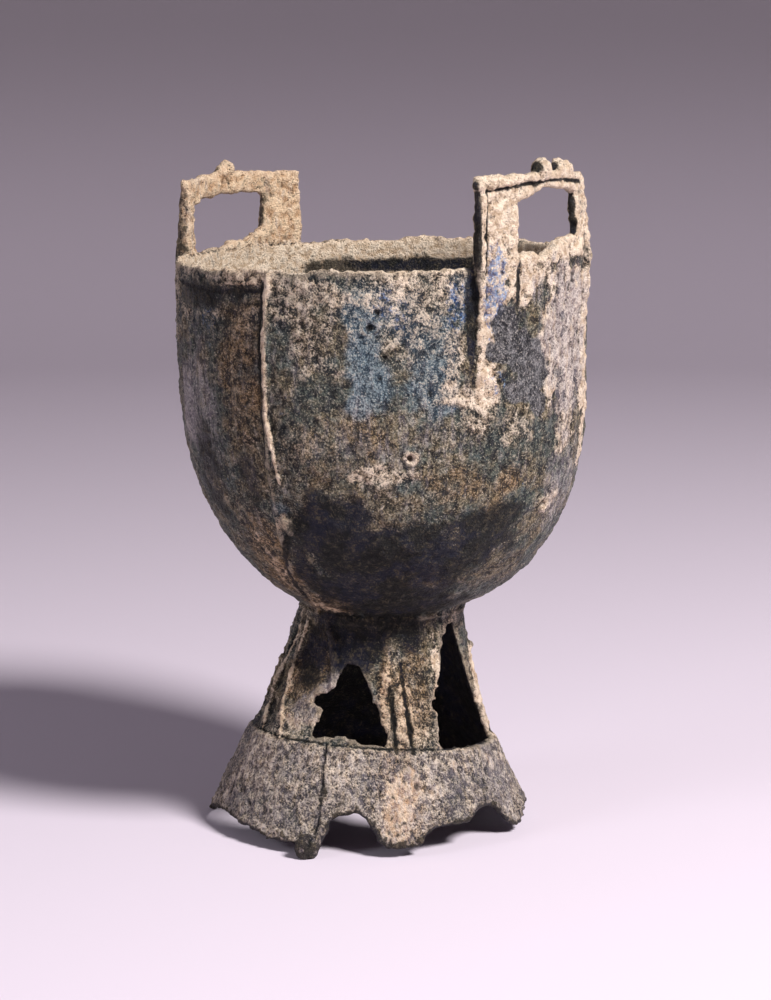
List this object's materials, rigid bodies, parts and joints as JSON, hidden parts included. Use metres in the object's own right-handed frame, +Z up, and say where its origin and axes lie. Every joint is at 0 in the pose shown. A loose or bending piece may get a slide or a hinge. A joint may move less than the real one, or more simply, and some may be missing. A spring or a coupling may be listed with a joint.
{
  "type": "bronze fu cauldron",
  "caption": "Ancient cast bronze cauldron: a deep round bowl with upright square loop handles on its rim, on a flared openwork ring foot, corroded and chipped.",
  "frame": {"origin": "middle of the vessel's box, on the ground it stands on", "axes": "+Z up, +X towards one handle, -X towards the other"},
  "size_m": [0.1692, 0.166, 0.273],
  "materials": {
    "bronze": "matt, corroded, with tan, blue-grey and dark patina"
  },
  "bodies": {
    "root": {"cauldron": "bronze"}
  },
  "joints": []
}
